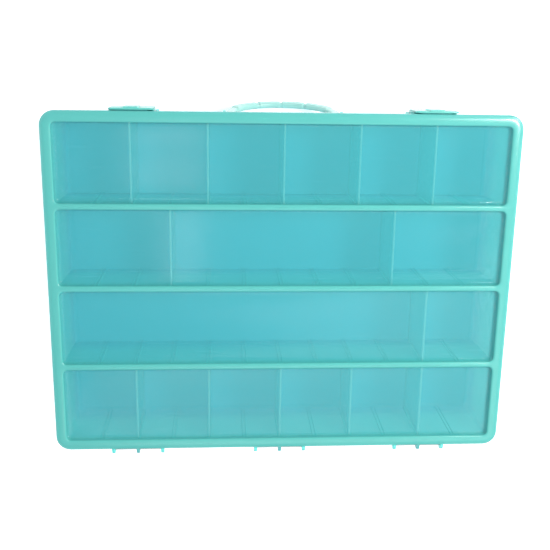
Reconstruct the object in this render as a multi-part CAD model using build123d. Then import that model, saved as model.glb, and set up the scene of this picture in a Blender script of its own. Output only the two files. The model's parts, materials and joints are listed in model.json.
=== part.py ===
from build123d import *
import math
import os

# Compartment case for small parts: a drafted tray with three fixed row walls, loose dividers in
# slots, a hinged lid with a raised rim and raised ribs, two snap latches and a bail handle.
# Millimetres. The origin is the centre of the tray's underside. +X runs along the long side,
# +Y towards the latches and the handle, +Z up out of the lid. All parts are drawn closed.

# Overall
case_length = 370.0
case_width = 277.0
case_height = 64.0
corner_radius = 11.5

# Lid
lid_depth = 6.5
lid_skin = 1.6
skirt_wall = 1.8
panel_recess = 4.5
rib_width = 5.6
rib_gap = 0.4
channel_gap = 0.4
pocket_radius = 3.0
rim_edge_fillet = 1.2
pocket_edge_fillet = 1.2
pocket_floor_fillet = 1.0

# Tray
lid_overhang = 5.0
tray_wall = 2.0
tray_floor = 2.5
draft_angle = 2.0
tongue_height = 2.0
flange_inset = 1.0
flange_thickness = 1.9
seam_gap = 0.3
foot_fillet = 2.5
row_count = 4
row_wall = 2.0

# Dividers and their slots. Each row lists the slots, counted from the middle, that hold one.
slot_pitch = 29.65
slot_rib_width = 1.0
slot_rib_reach = 1.2
divider_thickness = 1.5
divider_play = 0.15
divider_end_gap = 0.3
divider_lid_gap = 0.6
divider_top_fillet = 0.5
rows = {
    1: (-4, -2, 0, 2, 4),
    2: (-3, 3),
    3: (4,),
    4: (-4, -2, 0, 2, 4),
}

# Lid hinge, on the -Y side
hinge_spacing = 118.6
hinge_standoff = 2.0
lug_pitch = 20.3
lug_width = 2.8
lug_wall = 3.0
lug_gap = 0.4
hinge_pin_radius = 1.0
gusset_drop = 11.0

# Latches, on the +Y side
latch_offset = 116.8
latch_width = 33.5
latch_clearance = 0.2
latch_plate = 1.5
latch_pivot_height = 37.0
latch_barrel_radius = 2.6
latch_side_wall = 1.6
latch_head_drop = 2.0
latch_corner = 2.5
thumb_width = 11.5
thumb_corner = 0.8
thumb_edge = 0.6
thumb_reach = 1.0
thumb_height = 18.0
catch_width = 24.0
catch_reach = 0.5
catch_height = 1.4
claw_reach = 0.35

# Handle, on the +Y side
handle_span = 84.0
handle_reach = 29.5
handle_lean = 10.6
handle_foot_gap = 0.25
handle_band = 6.0
handle_core = 4.0
handle_barrel = 2.1
pad_count = 4
pad_pitch = 19.5
pad_notch = 1.8
pad_rise = 1.0
pad_overhang = 0.6
pad_fillet = 0.7

# Snap-in pivots of the latches and the handle
trunnion_radius = 1.2
ear_thickness = 2.4
ear_wall = 1.3
pivot_gap = 0.5
side_gap = 0.35
running_clearance = 0.05

# Worked out from the sizes above
rim_width = lid_overhang + tray_wall + channel_gap + lid_skin
rib_hollow = row_wall + 2 * rib_gap
lug_radius = hinge_pin_radius + lug_wall
ear_radius = trunnion_radius + ear_wall
seam_z = case_height - lid_depth
panel_top_z = case_height - panel_recess
panel_under_z = panel_top_z - lid_skin
wall_top_z = seam_z + tongue_height
divider_top_z = panel_under_z - divider_lid_gap
flange_top_z = seam_z - seam_gap
half_length = case_length / 2
half_width = case_width / 2
draft = math.tan(math.radians(draft_angle))
tray_half_length = half_length - lid_overhang
tray_half_width = half_width - lid_overhang
inner_half_length = tray_half_length - tray_wall
inner_half_width = tray_half_width - tray_wall
row_pitch = 2 * inner_half_width / row_count
row_wall_places = [inner_half_width - row_pitch * i for i in range(1, row_count)]
slot_gap = divider_thickness + 2 * divider_play
slot_reach = inner_half_length - draft * wall_top_z - slot_gap / 2 - slot_rib_width
slot_limit = int(slot_reach // slot_pitch)
hinge_y = -half_width - hinge_standoff
hinge_places = (-hinge_spacing, 0.0, hinge_spacing)
latch_inner_y = half_width + catch_reach + latch_clearance
handle_lean_turn = math.radians(handle_lean)
handle_tip = handle_reach + handle_band / 2 + pad_overhang
handle_drop = handle_tip * math.cos(handle_lean_turn) + handle_core / 2 * math.sin(handle_lean_turn)
handle_pivot_height = handle_foot_gap + handle_drop


def tray_face_y(z):
    """Y of the tray's outer front face at height z."""
    return tray_half_width - draft * max(seam_z - z, 0.0)


def inner_face_y(z):
    """Y of the tray's inner front face at height z."""
    return tray_face_y(z) - tray_wall


def rounded_block(inset, z_low, z_high):
    """Upright block whose outline is the lid's outline moved in by inset."""
    outline = RectangleRounded(
        case_length - 2 * inset, case_width - 2 * inset, corner_radius - inset
    )
    return Pos(0, 0, z_low) * extrude(outline, z_high - z_low)


def drafted_block(inset, z_low, z_high):
    """Block that narrows downwards from the seam by the draft angle."""
    shift = draft * max(seam_z - z_low, 0.0)
    low = RectangleRounded(
        case_length - 2 * (inset + shift),
        case_width - 2 * (inset + shift),
        corner_radius - inset,
    )
    high = RectangleRounded(
        case_length - 2 * inset, case_width - 2 * inset, corner_radius - inset
    )
    return loft([Pos(0, 0, z_low) * low, Pos(0, 0, z_high) * high], ruled=True)


def block(x_low, x_high, y_low, y_high, z_low, z_high):
    """Box between two corners."""
    size = (x_high - x_low, y_high - y_low, z_high - z_low)
    middle = ((x_low + x_high) / 2, (y_low + y_high) / 2, (z_low + z_high) / 2)
    return Pos(*middle) * Box(*size)


def rod_along_x(y, z, radius, x_middle, length):
    """Cylinder along X."""
    return Pos(x_middle, y, z) * Rot(0, 90, 0) * Cylinder(radius, length)


def plate_across_x(points, x_middle, thickness):
    """Plate in the YZ plane, from a list of (y, z) corners."""
    face = make_face(Polyline(*[(0, y, z) for y, z in points], close=True))
    return Pos(x_middle - thickness / 2, 0, 0) * extrude(face, thickness, dir=(1, 0, 0))


def edges_at(shape, z, keep):
    """Edges that lie flat at height z and pass the keep test on their centre."""
    flat = [e for e in shape.edges() if abs(e.bounding_box().min.Z - z) < 0.01]
    flat = [e for e in flat if abs(e.bounding_box().max.Z - z) < 0.01]
    return [e for e in flat if keep(e.center())]


def on_outline(point):
    """True for a point near the lid's outer outline."""
    near_side = abs(point.X) > half_length - rim_width / 2
    near_front = abs(point.Y) > half_width - rim_width / 2
    near_corner = (
        abs(point.X) > half_length - corner_radius
        and abs(point.Y) > half_width - corner_radius
    )
    return near_side or near_front or near_corner


def slot_rib_pair(x, y_low, y_high, z_low, z_high):
    """Two upright ribs that hold a divider's edge between them."""
    pair = []
    for side in (-1, 1):
        middle = x + side * (slot_gap + slot_rib_width) / 2
        half = slot_rib_width / 2
        pair.append(block(middle - half, middle + half, y_low, y_high, z_low, z_high))
    return pair


def slot_ribs():
    """Slot ribs on both faces of every row wall and on the tray's long walls."""
    ribs = []
    bottom = tray_floor - 0.5
    for index in range(-slot_limit, slot_limit + 1):
        x = index * slot_pitch
        for y in row_wall_places:
            reach = row_wall / 2 + slot_rib_reach
            ribs += slot_rib_pair(x, y - reach, y + reach, bottom, divider_top_z)
        for side in (-1, 1):
            for cheek in (-1, 1):
                middle = x + cheek * (slot_gap + slot_rib_width) / 2
                profile = [
                    (side * (inner_face_y(bottom) - slot_rib_reach), bottom),
                    (side * (inner_face_y(bottom) + tray_wall / 2), bottom),
                    (side * (inner_face_y(divider_top_z) + tray_wall / 2), divider_top_z),
                    (side * (inner_face_y(divider_top_z) - slot_rib_reach), divider_top_z),
                ]
                ribs.append(plate_across_x(profile, middle, slot_rib_width))
    return ribs


def ear(y, z, x_middle, root_y):
    """Ear on the tray's front face with a hole for a trunnion."""
    disc = rod_along_x(y, z, ear_radius, x_middle, ear_thickness)
    root = plate_across_x(
        [(root_y, z - 2 * ear_radius), (root_y, z + ear_radius), (y, z + ear_radius), (y, z - ear_radius)],
        x_middle,
        ear_thickness,
    )
    hole = rod_along_x(y, z, trunnion_radius + running_clearance, x_middle, 2 * ear_thickness)
    return disc + root - hole


def latch_pivot_y():
    """Y of the latches' pivot axis."""
    return tray_face_y(latch_pivot_height) + latch_barrel_radius + pivot_gap


def handle_pivot_y():
    """Y of the handle's pivot axis."""
    return tray_face_y(handle_pivot_height) + handle_barrel + pivot_gap


def base_tray():
    """Tray with its flange, row walls, slots, hinge lugs and the ears of the latches and handle."""
    outer = drafted_block(lid_overhang, 0, seam_z)
    outer = fillet(edges_at(outer, 0, lambda point: True), foot_fillet)
    outer += rounded_block(lid_overhang, seam_z, wall_top_z)
    outer += rounded_block(flange_inset, flange_top_z - flange_thickness, flange_top_z)
    inset = lid_overhang + tray_wall
    hollow = drafted_block(inset, 0, seam_z) + rounded_block(inset, seam_z, case_height)
    hollow -= block(-half_length, half_length, -half_width, half_width, -1, tray_floor)
    tray = outer - hollow

    for y in row_wall_places:
        wall = block(-inner_half_length - tray_wall / 2, inner_half_length + tray_wall / 2,
                     y - row_wall / 2, y + row_wall / 2, tray_floor - 0.5, wall_top_z)
        sloped = drafted_block(lid_overhang + tray_wall / 2, 0, seam_z)
        sloped += rounded_block(lid_overhang + tray_wall / 2, seam_z, wall_top_z)
        tray += wall & sloped
    tray += slot_ribs()

    for station in hinge_places:
        tray -= rod_along_x(hinge_y, seam_z, lug_radius + lug_gap, station, lug_width + 2 * lug_gap)
        for side in (-1, 1):
            tray += base_lug(station + side * lug_pitch)

    for centre in (-latch_offset, latch_offset):
        for side in (-1, 1):
            x = centre + side * (latch_width / 2 + side_gap + ear_thickness / 2)
            tray += ear(latch_pivot_y(), latch_pivot_height, x, inner_face_y(latch_pivot_height) + 1)
    for side in (-1, 1):
        x = side * (handle_span / 2 + handle_band / 2 + side_gap + ear_thickness / 2)
        tray += ear(handle_pivot_y(), handle_pivot_height, x, inner_face_y(handle_pivot_height) + 1)
    return tray


def base_lug(x):
    """Rounded hinge lug on the tray's back wall, with a gusset down the wall."""
    root_y = -tray_half_width + draft * gusset_drop + tray_wall / 4
    arm = plate_across_x(
        [
            (hinge_y, flange_top_z),
            (root_y, flange_top_z),
            (root_y, flange_top_z - gusset_drop),
            (hinge_y, seam_z - lug_radius),
        ],
        x,
        lug_width,
    )
    disc = rod_along_x(hinge_y, seam_z, lug_radius, x, lug_width)
    hole = rod_along_x(hinge_y, seam_z, hinge_pin_radius, x, 2 * lug_width)
    return disc + arm - hole


def lid():
    """Lid with a hollow rim, hollow ribs over the row walls and four sunken panels."""
    shell = rounded_block(0, seam_z, case_height)
    edges_y = [half_width - rim_width]
    for y in row_wall_places:
        edges_y += [y + rib_width / 2, y - rib_width / 2]
    edges_y.append(-half_width + rim_width)
    for high, low in zip(edges_y[0::2], edges_y[1::2]):
        outline = RectangleRounded(case_length - 2 * rim_width, high - low, pocket_radius)
        shell -= Pos(0, (high + low) / 2, panel_top_z) * extrude(outline, panel_recess)
    shell = fillet(edges_at(shell, panel_top_z, lambda point: True), pocket_floor_fillet)
    inner_edges = edges_at(shell, case_height, lambda point: not on_outline(point))
    shell = fillet(inner_edges, pocket_edge_fillet)
    shell = fillet(edges_at(shell, case_height, on_outline), rim_edge_fillet)

    channel = rounded_block(skirt_wall, seam_z, case_height - skirt_wall)
    channel -= rounded_block(rim_width - lid_skin, seam_z, case_height - skirt_wall)
    shell -= channel
    shell -= rounded_block(rim_width - lid_skin, seam_z, panel_under_z)
    reach = half_length - rim_width / 2
    for y in row_wall_places:
        shell -= block(-reach, reach, y - rib_hollow / 2, y + rib_hollow / 2,
                       seam_z, case_height - lid_skin)

    for station in hinge_places:
        for side in (-1, 1):
            x = station + side * lug_pitch
            shell -= rod_along_x(hinge_y, seam_z, lug_radius + lug_gap, x, lug_width + 2 * lug_gap)
        shell += lid_lug(station)
    for centre in (-latch_offset, latch_offset):
        shell += block(centre - catch_width / 2, centre + catch_width / 2,
                       half_width - skirt_wall / 2, half_width + catch_reach,
                       seam_z, seam_z + catch_height)
    return shell


def lid_lug(x):
    """Rounded hinge lug on the lid's back skirt."""
    root_y = -half_width + skirt_wall / 2
    arm = plate_across_x(
        [
            (hinge_y - lug_radius * 0.7, seam_z + lug_radius * 0.7),
            (-half_width, case_height - rim_edge_fillet),
            (root_y, case_height - rim_edge_fillet),
            (root_y, seam_z),
            (hinge_y, seam_z),
        ],
        x,
        lug_width,
    )
    disc = rod_along_x(hinge_y, seam_z, lug_radius, x, lug_width)
    hole = rod_along_x(hinge_y, seam_z, hinge_pin_radius + running_clearance, x, 2 * lug_width)
    return disc + arm - hole


def hinge_pin(x):
    """Pin through the three lugs of one hinge station."""
    return rod_along_x(hinge_y, seam_z, hinge_pin_radius, x, 2 * lug_pitch + lug_width)


def latch(centre):
    """Latch flap with side walls, trunnions, a claw bead and a raised thumb pad."""
    pivot_y = latch_pivot_y()
    head_z = case_height - latch_head_drop
    outer_y = latch_inner_y + latch_plate
    foot_z = latch_pivot_height + 1.0
    left = centre - latch_width / 2
    right = centre + latch_width / 2
    flap = block(left, right, latch_inner_y, outer_y, foot_z, head_z)
    side_profile = [
        (pivot_y - latch_barrel_radius * 0.8, latch_pivot_height + latch_barrel_radius * 0.6),
        (half_width - 0.5, flange_top_z - flange_thickness - 4),
        (half_width - 0.5, flange_top_z - flange_thickness - 1),
        (latch_inner_y, flange_top_z - flange_thickness),
        (latch_inner_y, head_z),
        (outer_y, head_z),
        (outer_y, foot_z),
        (pivot_y, latch_pivot_height - latch_barrel_radius),
    ]
    for x in (left + latch_side_wall / 2, right - latch_side_wall / 2):
        flap += plate_across_x(side_profile, x, latch_side_wall)
    flap += rod_along_x(pivot_y, latch_pivot_height, latch_barrel_radius, centre, latch_width)
    flap += block(left, right, pivot_y, outer_y, latch_pivot_height - 0.8, foot_z + 0.8)
    upright = [e for e in flap.edges().filter_by(Axis.Y) if e.center().Z > head_z - 0.1]
    flap = fillet(upright, latch_corner)
    pad_low = head_z - thumb_height
    pad = block(centre - thumb_width / 2, centre + thumb_width / 2,
                latch_inner_y + latch_plate / 2, outer_y + thumb_reach, pad_low, head_z)
    pad = fillet(pad.edges().filter_by(Axis.Y), thumb_corner)
    pad = fillet(edges_on_front(pad), thumb_edge)
    flap += pad
    claw_z = seam_z + catch_height + seam_gap
    flap += block(centre - catch_width / 2, centre + catch_width / 2,
                  latch_inner_y - claw_reach / 2, outer_y, claw_z, claw_z + catch_height / 2)
    half = side_gap + ear_thickness
    flap += rod_along_x(pivot_y, latch_pivot_height, trunnion_radius, centre, latch_width + 2 * half)
    return flap


def edges_on_front(shape):
    """Edges of a shape's furthest +Y face."""
    return shape.faces().sort_by(Axis.Y)[-1].edges()


def handle():
    """Bail handle with raised grip pads, drawn flat and then hung from its pivot."""
    half_span = handle_span / 2
    half_band = handle_band / 2
    lower = Pos(0, -half_span) * Rectangle(3 * half_span, 2 * half_span)

    def arch(extra):
        ring = Ellipse(half_span + half_band + extra, handle_reach + half_band + extra)
        ring -= Ellipse(half_span - half_band - extra, handle_reach - half_band - extra)
        return ring & lower

    bail = Pos(0, 0, -handle_core / 2) * extrude(arch(0), handle_core)
    pad_face = -handle_core / 2 - pad_rise
    pads = Pos(0, 0, pad_face) * extrude(arch(pad_overhang), handle_core + pad_rise)
    for index in range(pad_count):
        x = (index - (pad_count - 1) / 2) * pad_pitch
        half = (pad_pitch - pad_notch) / 2
        strip = block(x - half, x + half, -2 * handle_reach, 0, -handle_core, 2 * handle_core)
        pad = pads & strip
        outer = [e for e in pad.edges() if e.center().Z < pad_face + 0.01]
        bail += fillet(outer, pad_fillet)
    for side in (-1, 1):
        x = side * half_span
        bail += rod_along_x(0, 0, handle_barrel, x, handle_band)
        stub = half_band + side_gap + ear_thickness
        bail += rod_along_x(0, 0, trunnion_radius, x + side * stub / 2, stub)
    hang = Pos(0, handle_pivot_y(), handle_pivot_height) * Rot(90 + handle_lean, 0, 0)
    return hang * bail


def divider(row, index):
    """Thin plate that drops into one pair of slots."""
    high = inner_half_width - row_pitch * (row - 1) - row_wall / 2 - divider_end_gap
    low = inner_half_width - row_pitch * row + row_wall / 2 + divider_end_gap
    high_foot, low_foot = high, low
    foot_z = tray_floor + 0.05
    if row == 1:
        high = inner_face_y(divider_top_z) - divider_end_gap
        high_foot = inner_face_y(foot_z) - divider_end_gap
    if row == row_count:
        low = -inner_face_y(divider_top_z) + divider_end_gap
        low_foot = -inner_face_y(foot_z) + divider_end_gap
    profile = [(low_foot, foot_z), (high_foot, foot_z), (high, divider_top_z), (low, divider_top_z)]
    plate = plate_across_x(profile, index * slot_pitch, divider_thickness)
    top = [e for e in plate.edges().filter_by(Axis.Y) if e.center().Z > divider_top_z - 0.01]
    return fillet(top, divider_top_fillet)


def main():
    """Write every piece to its own file."""
    os.makedirs("parts", exist_ok=True)
    pieces = {"base_tray": base_tray(), "lid": lid()}
    for name, x in zip(("left", "middle", "right"), hinge_places):
        pieces["hinge_pin_" + name] = hinge_pin(x)
    pieces["latch_left"] = latch(-latch_offset)
    pieces["latch_right"] = latch(latch_offset)
    pieces["handle"] = handle()
    for row, slots in rows.items():
        for place, index in enumerate(slots, start=1):
            pieces[f"divider_row{row}_{place}"] = divider(row, index)
    for name, shape in pieces.items():
        export_step(shape, f"parts/{name}.step")


main()
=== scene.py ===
"""Looks for a translucent compartment case: finishes, refined mouldings, and a small studio.

Everything is in metres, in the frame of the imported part: +X along the long side, +Y towards the
latches and the handle, +Z up out of the lid.
"""

from __future__ import annotations

import json
import logging
import math
from dataclasses import dataclass, field
from enum import Enum

import bmesh
import bpy
import numpy as np
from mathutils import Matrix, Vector

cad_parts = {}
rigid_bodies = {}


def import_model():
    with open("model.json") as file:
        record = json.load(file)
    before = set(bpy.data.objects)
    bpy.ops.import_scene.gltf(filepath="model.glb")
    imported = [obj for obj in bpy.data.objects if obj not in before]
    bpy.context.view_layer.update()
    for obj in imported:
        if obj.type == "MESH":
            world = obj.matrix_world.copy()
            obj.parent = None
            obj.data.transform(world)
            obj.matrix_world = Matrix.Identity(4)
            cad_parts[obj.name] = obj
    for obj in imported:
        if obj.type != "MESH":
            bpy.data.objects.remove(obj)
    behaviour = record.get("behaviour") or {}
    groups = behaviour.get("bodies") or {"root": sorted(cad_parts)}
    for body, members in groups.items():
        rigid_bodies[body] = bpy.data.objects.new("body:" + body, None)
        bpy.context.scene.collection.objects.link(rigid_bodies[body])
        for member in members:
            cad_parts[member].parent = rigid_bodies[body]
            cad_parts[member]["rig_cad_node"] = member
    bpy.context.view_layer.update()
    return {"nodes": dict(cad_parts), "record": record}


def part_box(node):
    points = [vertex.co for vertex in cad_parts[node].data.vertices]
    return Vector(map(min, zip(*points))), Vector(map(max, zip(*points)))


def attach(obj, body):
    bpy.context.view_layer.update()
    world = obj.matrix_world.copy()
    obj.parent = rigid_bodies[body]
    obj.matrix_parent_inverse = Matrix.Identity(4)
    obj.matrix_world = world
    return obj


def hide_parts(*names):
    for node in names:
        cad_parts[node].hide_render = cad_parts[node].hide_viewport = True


LOG = logging.getLogger("case")
MM = 0.001
Array = np.ndarray
Pair = tuple[float, float]
Triple = tuple[float, float, float]
Colour = tuple[float, float, float, float]
Socket = bpy.types.NodeSocket
Thing = bpy.types.Object
Material = bpy.types.Material


class Body(Enum):
    """The rigid bodies that pieces ride on."""

    TRAY = "tray"
    LID = "lid"
    LATCH_LEFT = "latch_left"
    LATCH_RIGHT = "latch_right"
    HANDLE = "handle"


class Slot(Enum):
    """The record's material slots."""

    TRAY = "tray"
    LID = "lid"
    DIVIDER = "divider"
    LATCH = "latch"
    HANDLE = "handle"
    PIN = "hinge_pin"


@dataclass(frozen=True)
class CasePlan:
    """Sizes and places that the lid, the tray and their fittings share."""

    half_length: float = 185 * MM
    half_width: float = 138.5 * MM
    top: float = 64 * MM
    seam: float = 57.5 * MM
    corner: float = 11.5 * MM
    draft: float = math.tan(math.radians(2.0))
    row_pitch: float = 65.75 * MM
    hinge: Pair = (-140.5 * MM, 57.5 * MM)
    stations: Triple = (-118.6 * MM, 0.0, 118.6 * MM)
    lug_radius: float = 4 * MM
    lug_width: float = 2.8 * MM
    lug_pitch: float = 20.3 * MM
    lug_gap: float = 0.4 * MM
    latch_x: float = 116.8 * MM
    latch_pivot: Pair = (135.884 * MM, 37.0 * MM)
    handle_pivot: Pair = (135.250 * MM, 33.153 * MM)


CASE = CasePlan()
NEAR_MIDDLE = 0.999
SMALLEST = 0.01 * MM


# ---------------------------------------------------------------- finishes


def linear(red: float, green: float, blue: float) -> Colour:
    """Turn a display colour into the scene-linear colour that shaders take.

    Args:
        red: Red, 0 to 255.
        green: Green, 0 to 255.
        blue: Blue, 0 to 255.

    Returns:
        Scene-linear red, green and blue, and an alpha of 1.
    """
    parts = [value / 255 for value in (red, green, blue)]
    low = [part / 12.92 for part in parts]
    high = [((part + 0.055) / 1.055) ** 2.4 for part in parts]
    red_, green_, blue_ = [a if p <= 0.04045 else b for p, a, b in zip(parts, low, high)]
    return (red_, green_, blue_, 1.0)


class NodeSheet:
    """A material's node tree, with short calls that add and link nodes."""

    def __init__(self, name: str) -> None:
        """Start an empty material with an output and a principled shader.

        Args:
            name: The material's name.
        """
        self.material = bpy.data.materials.new(name)
        self.material.use_nodes = True
        self.tree = self.material.node_tree
        self.tree.nodes.clear()
        self.output = self.tree.nodes.new("ShaderNodeOutputMaterial")
        self.shader = self.tree.nodes.new("ShaderNodeBsdfPrincipled")
        self.tree.links.new(self.shader.outputs[0], self.output.inputs[0])
        self.place = self.tree.nodes.new("ShaderNodeTexCoord").outputs["Object"]

    def link(self, source: Socket, target: Socket) -> None:
        """Join one socket to another."""
        self.tree.links.new(source, target)

    def mapped(self, scale: Triple, turn: float = 0.0) -> Socket:
        """Object coordinates stretched by scale and turned about Z.

        Args:
            scale: Factors for X, Y and Z.
            turn: Angle about Z in degrees.

        Returns:
            The vector socket.
        """
        node = self.tree.nodes.new("ShaderNodeMapping")
        node.inputs["Scale"].default_value = scale
        node.inputs["Rotation"].default_value[2] = math.radians(turn)
        self.link(self.place, node.inputs["Vector"])
        return node.outputs[0]

    def noise(
        self, scale: float, detail: float = 3.0, rough: float = 0.5,
        where: Socket | None = None,
    ) -> Socket:
        """Smooth noise, about one feature per 1 / scale metres.

        Args:
            scale: Features per metre.
            detail: Octaves of finer noise.
            rough: Weight of the finer octaves.
            where: Coordinates, or None for plain object coordinates.

        Returns:
            The value socket, 0 to 1.
        """
        node = self.tree.nodes.new("ShaderNodeTexNoise")
        node.inputs["Scale"].default_value = scale
        node.inputs["Detail"].default_value = detail
        node.inputs["Roughness"].default_value = rough
        self.link(where or self.place, node.inputs["Vector"])
        return node.outputs["Fac"]

    def height(self) -> Socket:
        """The height in object coordinates.

        Returns:
            The value socket.
        """
        node = self.tree.nodes.new("ShaderNodeSeparateXYZ")
        self.link(self.place, node.inputs[0])
        return node.outputs[2]

    def ranged(
        self, value: Socket, low: float, high: float, to_low: float, to_high: float
    ) -> Socket:
        """Map a value smoothly from one range to another, held at both ends.

        Args:
            value: The socket to map.
            low: Value that gives to_low.
            high: Value that gives to_high.
            to_low: Result at low.
            to_high: Result at high.

        Returns:
            The mapped socket.
        """
        node = self.tree.nodes.new("ShaderNodeMapRange")
        node.interpolation_type = "SMOOTHSTEP"
        for place, number in zip((1, 2, 3, 4), (low, high, to_low, to_high)):
            node.inputs[place].default_value = number
        self.link(value, node.inputs[0])
        return node.outputs[0]

    def mixed(self, share: Socket, first: object, second: object) -> Socket:
        """Mix two colours.

        Args:
            share: Socket that says how much of the second colour shows.
            first: A colour or a colour socket.
            second: A colour or a colour socket.

        Returns:
            The mixed colour socket.
        """
        node = self.tree.nodes.new("ShaderNodeMix")
        node.data_type = "RGBA"
        self.link(share, node.inputs[0])
        for place, colour in ((6, first), (7, second)):
            if isinstance(colour, Socket):
                self.link(colour, node.inputs[place])
            else:
                node.inputs[place].default_value = colour
        return node.outputs[2]

    def summed(self, first: Socket, second: Socket, share: float) -> Socket:
        """First plus share times second.

        Args:
            first: The socket that counts fully.
            second: The socket that counts by its share.
            share: Factor of the second.

        Returns:
            The sum's socket.
        """
        node = self.tree.nodes.new("ShaderNodeMath")
        node.operation = "MULTIPLY_ADD"
        self.link(second, node.inputs[0])
        node.inputs[1].default_value = share
        self.link(first, node.inputs[2])
        return node.outputs[0]

    def bumped(self, value: Socket, strength: float, distance: float) -> None:
        """Drive the shader's normal with a bump.

        Args:
            value: The height socket.
            strength: Share of the bump that is used.
            distance: Height in metres of a full step of the value.
        """
        node = self.tree.nodes.new("ShaderNodeBump")
        node.inputs["Strength"].default_value = strength
        node.inputs["Distance"].default_value = distance
        self.link(value, node.inputs["Height"])
        self.link(node.outputs[0], self.shader.inputs["Normal"])

    def settings(self, **values: float) -> None:
        """Set plain values on the shader's own sockets, with underscores for spaces."""
        for name, value in values.items():
            self.shader.inputs[name.replace("_", " ")].default_value = value


@dataclass(frozen=True)
class Polypropylene:
    """Tinted translucent moulded plastic.

    Light passes by a plain alpha. The tint drifts in soft clouds and flow streaks, and it grows paler with
    height: painted light, the upper parts lighter as though lit from above. Haze and faint scuffs break the
    gloss.
    """

    name: str
    deep: Colour
    pale: Colour
    alpha: float
    shaded_height: float
    lit_height: float
    gloss: float = 0.22
    haze: float = 0.12
    grain: float = 0.25
    coat: float = 0.25

    def material(self) -> Material:
        """Build the node material.

        Returns:
            The material.
        """
        sheet = NodeSheet(self.name)
        clouds = sheet.noise(9.0, 2.0)
        streaks = sheet.noise(22.0, 3.0, 0.5, sheet.mapped((1.0, 0.6, 1.0), 24.0))
        # Painted light: the colour turns paler with height, so upper parts read as lit and lower parts as
        # shaded.
        rise = sheet.ranged(sheet.height(), self.shaded_height, self.lit_height, 0.0, 0.8)
        share = sheet.summed(sheet.summed(rise, clouds, 0.22), streaks, 0.12)
        share = sheet.ranged(share, 0.1, 1.0, 0.0, 1.0)
        sheet.link(sheet.mixed(share, self.deep, self.pale), sheet.shader.inputs["Base Color"])
        scuffs = sheet.noise(420.0, 5.0, 0.7, sheet.mapped((0.06, 1.0, 1.0), 31.0))
        worn = sheet.ranged(scuffs, 0.56, 0.72, 0.0, self.haze)
        rough = sheet.summed(worn, clouds, self.haze)
        rough = sheet.ranged(rough, 0.0, 0.3, self.gloss, self.gloss + 0.25)
        sheet.link(rough, sheet.shader.inputs["Roughness"])
        skin = sheet.summed(sheet.noise(1400.0, 2.0), sheet.noise(55.0, 2.0), 1.5)
        sheet.bumped(skin, self.grain, 0.00012)
        sheet.settings(Alpha=self.alpha, IOR=1.49, Coat_Weight=self.coat, Coat_Roughness=0.12)
        return sheet.material


@dataclass(frozen=True)
class DrawnWire:
    """Bright drawn steel wire with fine lengthways lines."""

    name: str = "drawn_wire"
    colour: Colour = (0.56, 0.57, 0.58, 1.0)

    def material(self) -> Material:
        """Build the node material.

        Returns:
            The material.
        """
        sheet = NodeSheet(self.name)
        lines = sheet.noise(1500.0, 3.0, 0.6, sheet.mapped((0.02, 1.0, 1.0)))
        dull = sheet.mixed(lines, self.colour, (0.36, 0.37, 0.39, 1.0))
        sheet.link(dull, sheet.shader.inputs["Base Color"])
        sheet.link(sheet.ranged(lines, 0.2, 0.8, 0.22, 0.42), sheet.shader.inputs["Roughness"])
        sheet.bumped(lines, 0.3, 0.00005)
        sheet.settings(Metallic=1.0)
        return sheet.material


@dataclass(frozen=True)
class TablePaper:
    """Plain pale table with a barely visible tooth, lit evenly from within like a light table."""

    glow: float
    name: str = "table_paper"
    colour: Colour = (0.93, 0.93, 0.93, 1.0)

    def material(self) -> Material:
        """Build the node material.

        Returns:
            The material.
        """
        sheet = NodeSheet(self.name)
        tooth = sheet.noise(260.0, 4.0, 0.6)
        paper = sheet.mixed(tooth, self.colour, (0.97, 0.97, 0.97, 1.0))
        sheet.link(paper, sheet.shader.inputs["Base Color"])
        sheet.bumped(tooth, 0.15, 0.0001)
        sheet.link(paper, sheet.shader.inputs["Emission Color"])
        sheet.settings(Roughness=0.85, Emission_Strength=self.glow)
        return sheet.material


# ---------------------------------------------------------------- surfaces


def arc(centre: Pair, radius: float, start: float, end: float, count: int) -> Array:
    """Points of a circular arc: centre plus radius times (cosine, sine) of the angle.

    Args:
        centre: The arc's centre.
        radius: The arc's radius, which may be zero.
        start: First angle in degrees.
        end: Last angle in degrees.
        count: Points, with both ends.

    Returns:
        Array of count points.
    """
    turn = np.radians(np.linspace(start, end, count))
    return np.array(centre) + radius * np.stack([np.cos(turn), np.sin(turn)], 1)


def notched_shares(centres: tuple[float, ...], half: float, straight: float, count: int) -> Array:
    """Shares of a straight side that also has points just inside and outside of each notch.

    Args:
        centres: Middle of each notch along the side.
        half: Half a notch's width.
        straight: Half the side's straight length.
        count: Even points before those near a notch's edge are left out.

    Returns:
        Shares from 0 to 1.
    """
    step = 0.05 * MM
    edges = np.array([c + o for c in centres for o in (-half - step, -half, half, half + step)])
    even = np.linspace(-straight, straight, count)
    near = np.min(np.abs(even[:, None] - edges[None]), axis=1)
    places = np.sort(np.concatenate([even[near > 0.6 * MM], edges]))
    return (places + straight) / (2 * straight)


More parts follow.
